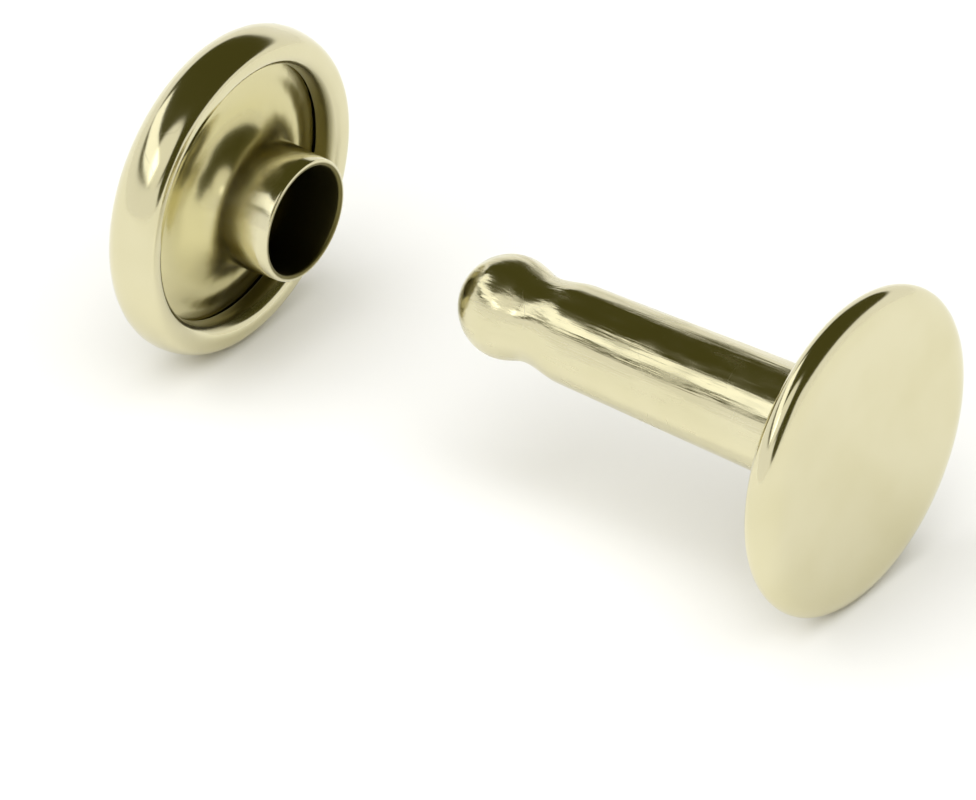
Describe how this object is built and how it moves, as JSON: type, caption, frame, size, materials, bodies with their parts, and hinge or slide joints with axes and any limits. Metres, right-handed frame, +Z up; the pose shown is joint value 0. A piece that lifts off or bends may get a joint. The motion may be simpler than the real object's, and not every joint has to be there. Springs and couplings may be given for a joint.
{
  "type": "double cap rivet",
  "caption": "Double-cap tubular rivet in two loose halves: a capped hollow post and a capped socket that slides onto it to clamp leather.",
  "frame": {"origin": "centre of the outer face of the post's cap, on the rivet's axis", "axes": "+X along the rivet's axis, out of the post's cap and away from the socket half; +Z up, with both caps standing on the same level"},
  "size_m": [0.0227, 0.0094, 0.0094],
  "materials": {
    "cap_plating": "pale gold plating, polished, light handling marks",
    "post_plating": "pale gold plating over drawn metal, slightly wavy polish",
    "barrel_plating": "pale gold plating over drawn metal, darker in the bore"
  },
  "bodies": {
    "post_half": {"post_cap_shell": "cap_plating", "post_stem": "post_plating"},
    "socket_half": {"socket_cap_shell": "cap_plating", "socket_barrel": "barrel_plating"}
  },
  "joints": [
    {"name": "socket_slide", "type": "slide", "parent": "post_half", "child": "socket_half", "axis": [1, 0, 0], "range_m": [0, 0.00884]}
  ]
}
